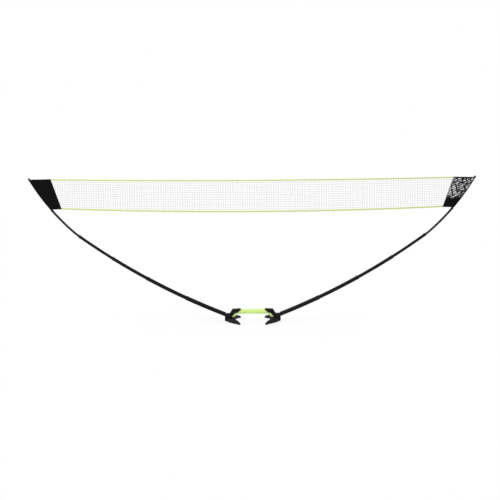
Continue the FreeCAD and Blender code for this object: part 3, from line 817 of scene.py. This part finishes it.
# %% [markdown]
# ## Cloth sleeves
# Each end of the net is a black cloth panel, folded round rod 6 and sewn to itself, so that the
# fold makes a pocket for the rod. The open edges meet again at the net, with the netting sewn
# between them. One grid makes it all: it starts at the net seam in front, runs to the rod, goes
# round it and comes back behind. The panel is stretched between the rod and the net, so long
# shallow creases run from corner to corner.

# %% Section of a sleeve
SLEEVE_CLOTH = 0.0008
POCKET_RADIUS = 0.0098
PANEL_HALF = 0.0016    # half the thickness of the two layers together
SEAM_HALF = 0.0021     # the same at the net, where the netting lies between them
WRAP_SHARE = 0.22      # of the cloth goes round the rod
THROAT_SHARE = 0.34    # and from there the layers lie flat
THROAT_TURN = math.radians(48)
ROD_FOLD = 0.3         # where the fold lies in the cloth's own metres

# Each crease is the way it repeats in X and Z, its pitch, its shift and its height.
CREASES = [(0.55, 0.84, 0.095, 0.8, 0.0011), (0.80, -0.60, 0.061, 2.0, 0.0006)]
LOOSE_HEIGHT = 0.0022


def sleeve_section(width, stretch, q):
    """The cloth's distance from the rod, half thickness and run, for q from rod (0) to net (1)."""
    wide = POCKET_RADIUS * stretch
    leave = wide * math.cos(THROAT_TURN)
    seam = wide * 2.5
    if q < WRAP_SHARE:
        turn = math.pi - (math.pi - THROAT_TURN) * q / WRAP_SHARE
        return wide * math.cos(turn), POCKET_RADIUS * math.sin(turn), wide * (math.pi - turn)
    wrap_run = wide * (math.pi - THROAT_TURN)
    if q < THROAT_SHARE:
        s = (q - WRAP_SHARE) / (THROAT_SHARE - WRAP_SHARE)
        t = leave + (seam - leave) * s
        drop = (1 - s) ** 2 * (1 + 0.6 * s)
        half = PANEL_HALF + (POCKET_RADIUS * math.sin(THROAT_TURN) - PANEL_HALF) * drop
    else:
        s = (q - THROAT_SHARE) / (1 - THROAT_SHARE)
        t = seam + (width - seam) * s
        half = PANEL_HALF + (SEAM_HALF - PANEL_HALF) * s ** 4
    return t, half, wrap_run + t - leave


def crease(across, up, x, z):
    """How far the panel stands out of its plane."""
    calm = math.sin(math.pi * min(1.0, across)) * (0.35 + 0.65 * math.sin(math.pi * up))
    out = sum(height * math.sin((x * way_x + z * way_z) * 2 * math.pi / pitch + shift)
              for way_x, way_z, pitch, shift, height in CREASES)
    loose = noise.noise(Vector((x * 14, 3.1, z * 14)))
    return calm * (out + LOOSE_HEIGHT * loose)


def sleeve_frame(up):
    """The rod's point, the way to the net, the panel's width and the rod's slant, at a height."""
    length = POCKET_BEGIN + POCKET_LENGTH * up
    rod = rod_curve.point(length)
    low = Vector((-net_bottom_end.x - SEAM, 0, net_bottom_end.z))
    high = Vector((-net_top_end.x - SEAM, 0, net_top_end.z))
    seam = low.lerp(high, up)
    across = seam - rod
    slant = across.normalized().cross(rod_curve.along(length)).length
    return rod, across.normalized(), across.length + 2 * SEAM, 1 / slant


def sleeve_point(across, up, lift=0.0):
    """A point of the outer face: across is 0 at the front seam, 0.5 round the rod, 1 behind."""
    q = abs(2 * across - 1)
    rod, towards_net, width, stretch = sleeve_frame(up)
    t, half, _ = sleeve_section(width, stretch, q)
    point = rod + towards_net * t
    panel = max(0.0, (q - THROAT_SHARE) / (1 - THROAT_SHARE))
    point.y = math.copysign(half + lift, 2 * across - 1) + crease(panel, up, point.x, point.z)
    if q < WRAP_SHARE:
        point -= towards_net * lift * math.cos(q / WRAP_SHARE * math.pi / 2)
    return point


def sleeve_uv(across, up):
    """Metres along the cloth, with the rod's fold at ROD_FOLD, and up from its lower edge."""
    q = abs(2 * across - 1)
    _, _, width, stretch = sleeve_frame(up)
    run = sleeve_section(width, stretch, q)[2]
    return math.copysign(run, 2 * across - 1) + ROD_FOLD, POCKET_LENGTH * up


print("sleeve", round(sleeve_frame(1)[2], 3), "m wide at the top and",
      round(sleeve_frame(0)[2], 3), "at the bottom")

# %% [markdown]
# ## Sleeve finishes
# The cloth is a plain black weave with a dull sheen. The left sleeve is bare. The right one
# carries a printed design in greys over its upper two thirds. Here it is a design of its own:
# a patchy grey wash with pale brush strokes one way and black ones the other, down to a ragged
# edge. It is drawn in the cloth's own metres, so it follows the cloth, and it leaves the fold
# round the rod and the top edge black.


# %% Black cloth and the printed cloth
PALE_SLANT = math.radians(34)
DARK_SLANT = math.radians(-52)
PRINT_EDGE = 0.120, 0.160   # metres up from the lower edge over which the print sets in
TOP_BLACK = 0.012, 0.022    # the same down from the top edge
FOLD_BLACK = 0.019, 0.026   # and sideways from the fold


def brush_strokes(made, u, v, slant, pitch, shift, bare):
    """A mask of dry strokes at a slant, a pitch apart. A larger bare leaves fewer of them."""
    along = u * math.cos(slant) + v * math.sin(slant)
    across = v * math.cos(slant) - u * math.sin(slant)
    wander = made.speckle(made.join(along * 10, across * 20, shift), 1, 3)
    bands = made.wave(across + 0.05 * wander, pitch)
    bristles = made.speckle(made.join(along * 22, across * 260, shift), 1, 2)
    gaps = made.speckle(made.join(along * 24, across * 40, shift + 2.7), 1, 3)
    return made.between(bands * 0.4 + bristles * 0.35 + gaps * 0.9, bare, bare + 0.12)


def printed_colour(made, u, v, black):
    """The print over the upper part of the cloth, on black."""
    pale = brush_strokes(made, u, v, PALE_SLANT, 0.029, 0.0, 0.85)
    dark = brush_strokes(made, u, v, DARK_SLANT, 0.037, 4.1, 0.91)
    wash = made.between(made.speckle(made.join(u * 17, v * 17, 7.3), 1, 4), 0.42, 0.54)
    tone = made.between(made.speckle(made.join(u * 22, v * 17, 9.2), 1, 3), 0.38, 0.62)
    ragged = made.speckle(made.join(u * 26, v * 26, 1.3), 1, 3)
    below = POCKET_LENGTH - v + 0.05 * (ragged - 0.5)
    beside = (u - ROD_FOLD).sum("ABSOLUTE")
    shown = made.between(v + 0.11 * (ragged - 0.5), *PRINT_EDGE)
    shown = shown * made.between(below, *TOP_BLACK) * made.between(beside, *FOLD_BLACK)
    greys = made.mix(tone, linear("2e2e30"), linear("a2a2a5"))
    ink = made.mix(pale, greys, linear("cacacb"))
    cover = pale.sum("MAXIMUM", wash) * (1 - dark)
    return made.mix(cover * shown, black, ink)


def sleeve_finish(name, printed):
    made = Finish(name, {"Roughness": 0.85, "Specular IOR Level": 0.03,
                         "Sheen Weight": 0.03, "Sheen Roughness": 0.5})
    u, v, _ = made.parts(made.cloth_place())
    weave = made.wave(u, 0.0011) * made.wave(v, 0.0011)
    worn = made.speckle(made.cloth_place(), 30, 3)
    black = made.mix(weave * 0.5 + worn * 0.5, linear("090909"), linear("171717"))
    made.set("Base Color", printed_colour(made, u, v, black) if printed else black)
    made.emboss(weave, 0.0002)
    return made


sleeve_black = sleeve_finish("black sleeve cloth", False)
sleeve_print = sleeve_finish("printed sleeve cloth", True)
black_thread = black_finish("black thread", "202020", "323232", 0.6, 0.0007, 0.0001, 0.3)
print("the print has", len(sleeve_print.tree.nodes), "nodes and the bare cloth",
      len(sleeve_black.tree.nodes))

# %% [markdown]
# ## Sew the sleeves
# The hems are folded bands at the top and bottom, a little proud of the panel. The thread runs
# beside the rod, along both hems and in two rows along the net seam, on the front and the back.
# When rod 6 slides away, the real cloth gathers under its top edge, which still reaches from the
# rod's tip to the net.


# %% Sleeves, hems and thread
HEM = 0.011
HEM_CLOTH = 0.0005
HEM_LIFT = 0.0006
SLEEVE_STITCH = (0.0030, 0.0007, 0.0005)
GATHER_SLANT = 0.052


def hem_share(share):
    """A share of the hem's height, as a share of the sleeve's."""
    return share * HEM / POCKET_LENGTH


def hem_grid(top):
    """A band of cloth round the sleeve, at its top or its bottom."""
    start = 1 - hem_share(1) if top else 0.0
    return cloth_grid(
        64, 3, lambda a, u: sleeve_point(0.01 + 0.98 * a, start + hem_share(u), HEM_LIFT),
        lambda a, u: sleeve_uv(a, start + hem_share(u)))


def thread_rows():
    """Each row as a path over the cloth, the way out of the cloth and a number of stitches."""
    rows = []
    hem_low, hem_high = hem_share(0.8), 1 - hem_share(0.8)
    for front in (True, False):
        def at(q, up, front=front, lift=0.0001):
            return sleeve_point(0.5 - q / 2 if front else 0.5 + q / 2, up, lift)
        out = Vector((0, -1 if front else 1, 0))
        for q in (THROAT_SHARE + 0.005, THROAT_SHARE + 0.03):
            rows.append((lambda s, q=q, at=at: at(q, 0.03 + 0.94 * s), out, 92))
        for q in (0.955, 0.98):
            rows.append((lambda s, q=q, at=at: at(q, 0.02 + 0.96 * s), out, 86))
        rows.append((lambda s, at=at: at(0.36 + 0.63 * s, hem_low, lift=0.0007), out, 24))
        rows.append((lambda s, at=at: at(0.36 + 0.63 * s, hem_high, lift=0.0007), out, 50))
    return rows


top_edge = Vector((-net_top_end.x, 0, net_top_end.z)) - pocket_top
gather_axis = Vector((top_edge.z, 0, -top_edge.x)) + GATHER_SLANT * top_edge
sleeve_stitch = grain_mesh("sleeve_stitch", SLEEVE_STITCH)
for side, cloth in (("left", sleeve_black), ("right", sleeve_print)):
    body = f"{side}_mast_6"
    bm = turned_to(cloth_grid(64, 48, sleeve_point, sleeve_uv), side)
    sleeve = make_piece(bm, f"{side}_sleeve", cloth, body)
    thicken(sleeve, SLEEVE_CLOTH)
    hems = []
    for edge in ("bottom", "top"):
        bm = turned_to(hem_grid(edge == "top"), side)
        hem = make_piece(bm, f"{side}_sleeve_{edge}_hem", sleeve_black, body)
        thicken(hem, HEM_CLOTH)
        hems.append(hem)
    bm = bmesh.new()
    for path, out, count in thread_rows():
        add_stitches(bm, sleeve_stitch, path, out, count)
    bm = turned_to(bm, side)
    thread = make_piece(bm, f"{side}_sleeve_thread", black_thread, body)
    for piece in [sleeve, thread] + hems:
        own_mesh(piece)
    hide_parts(f"{side}_end_sleeve")
    print(sleeve.name, count_triangles(sleeve), "triangles and",
          count_triangles(thread), "of thread")

# %% [markdown]
# ## Stage, light and camera
# The object stands on a white floor in soft, even light. The world is white to the camera and
# to reflections. So is the floor, but close to the base a share of its lit colour is left in,
# and a faint shadow stays under the feet. Further out that share fades away, which hides the
# line where the floor would end.

# %% White room
LIGHT_LEVEL = 0.66
WHITE = (1, 1, 1, 1)

world = bpy.data.worlds.new("white room")
bpy.context.scene.world = world
world.use_nodes = True
world.node_tree.nodes.clear()
room = Network(world.node_tree)
seen = room.node("ShaderNodeLightPath", {}, {}, out="Is Camera Ray")
bounced = seen.beside("Is Glossy Ray").sum("MAXIMUM", seen.beside("Is Transmission Ray"))
strength = LIGHT_LEVEL + (1 - LIGHT_LEVEL) * seen.sum("MAXIMUM", bounced)
glow = room.node("ShaderNodeBackground", {}, {"Color": WHITE, "Strength": strength})
room_surface = room.tree.nodes.new("ShaderNodeOutputWorld").inputs["Surface"]
room.tree.links.new(glow.socket, room_surface)
print("the world lights the object at", LIGHT_LEVEL, "of the white that the camera sees")

# %% White floor
FLOOR_SIZE = 60
FLOOR_WHITE_NEAR = 0.80
FADE_BEGIN, FADE_END = 0.45, 1.6

bm = bmesh.new()
bmesh.ops.create_grid(bm, x_segments=1, y_segments=1, size=FLOOR_SIZE)
floor = add_object("floor", mesh_from(bm, "floor"))

floor_white = Finish("white floor", {"Roughness": 0.9, "Specular IOR Level": 0.1})
tone = floor_white.speckle(floor_white.place(), 3, 2)
greys = (0.93, 0.93, 0.93, 1), (0.96, 0.96, 0.96, 1)
floor_white.set("Base Color", floor_white.mix(tone, *greys))
x, y, _ = floor_white.parts(floor_white.place())
far = floor_white.between((x * x + y * y) ** 0.5, FADE_BEGIN, FADE_END)
seen = floor_white.node("ShaderNodeLightPath", {}, {}, out="Is Camera Ray")
seen = seen.sum("MAXIMUM", seen.beside("Is Glossy Ray"))
white_share = (FLOOR_WHITE_NEAR + (1 - FLOOR_WHITE_NEAR) * far) * seen
shine = floor_white.node("ShaderNodeEmission", {}, {"Color": WHITE, "Strength": 1.0})
lit = Value(floor_white, floor_white.shader.outputs[0])
both = floor_white.node("ShaderNodeMixShader", {}, {0: white_share, 1: lit, 2: shine})
floor_surface = floor_white.tree.nodes["Material Output"].inputs["Surface"]
floor_white.tree.links.new(both.socket, floor_surface)
floor.data.materials.append(floor_white.material)
print("the floor keeps", round(1 - FLOOR_WHITE_NEAR, 2), "of its lit colour near the base")


# %% Soft lamps
def add_lamp(name, at, towards, size, power):
    """A rectangular lamp that shines towards a point."""
    light = bpy.data.lights.new(name, "AREA")
    light.shape = "RECTANGLE"
    light.size, light.size_y = size
    light.energy = power
    lamp = add_object(name, light)
    lamp.location = at
    lamp.rotation_euler = (Vector(towards) - Vector(at)).to_track_quat("-Z", "Y").to_euler()
    print(name, "of", power, "W at", at)


add_lamp("key lamp", (-3.0, -6.0, 6.5), (0, 0, 0.8), (5.0, 3.0), 330)
add_lamp("fill lamp", (4.5, 3.5, 5.0), (0, 0, 0.9), (4.0, 3.0), 120)

# %% [markdown]
# ## Camera
# The photograph looks along Y from about nine metres away and 1.6 metres up, tipped down by
# five degrees. It leans by a third of a degree, so the right tip stands a little higher.

# %% Camera
scene = bpy.context.scene
camera = add_object("camera", bpy.data.cameras.new("camera"))
camera.data.sensor_width = 36
camera.data.lens = 60.73
camera.data.clip_end = 200
camera.location = (-0.026, -9.160, 1.6317)
tilt = Matrix.Rotation(math.radians(84.732), 3, "X")
lean = Matrix.Rotation(math.radians(-0.36), 3, "Z")
camera.rotation_euler = (tilt @ lean).to_euler()
scene.camera = camera
scene.view_settings.view_transform = "Standard"
print("camera at", rounded(camera.location))
